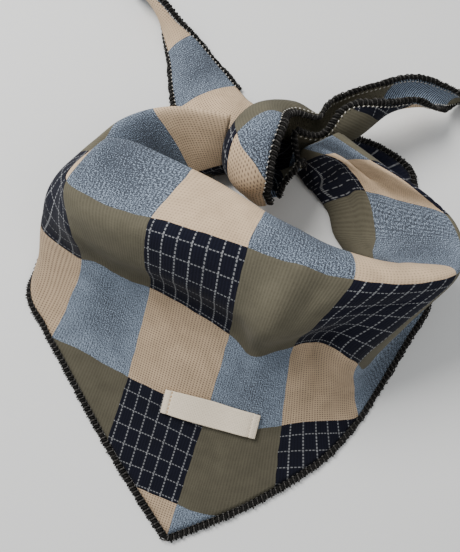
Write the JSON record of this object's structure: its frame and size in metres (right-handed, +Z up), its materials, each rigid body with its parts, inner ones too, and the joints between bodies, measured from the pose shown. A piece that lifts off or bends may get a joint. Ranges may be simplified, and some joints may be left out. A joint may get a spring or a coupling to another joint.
{
  "type": "patchwork neck scarf",
  "caption": "Small three-cornered patchwork knit neck scarf, folded into a neck band and bib, tied behind in a knot with two free tails, with overlocked hems and a bare sewn label",
  "frame": {"origin": "middle of the bounding box on the table plane the scarf lies on", "axes": "+Z up from the table, +Y from the bib's point towards the knot and its tails, +X towards the wearer's left tail side, to the right in the picture"},
  "size_m": [0.266, 0.3358, 0.073],
  "materials": {
    "knit_cloth": "matte jacquard knit in beige, blue melange, olive and navy patches",
    "overlock_thread": "matte charcoal overlock stitching",
    "cotton_label": "matte cotton tape"
  },
  "bodies": {
    "root": {"scarf_cloth": "knit_cloth", "bib_hem": "overlock_thread", "neck_edge_hem": "overlock_thread", "right_tail_upper_hem": "overlock_thread", "right_tail_lower_hem": "overlock_thread", "left_tail_right_hem": "overlock_thread", "left_tail_left_hem": "overlock_thread", "sewn_label": "cotton_label"}
  },
  "joints": []
}
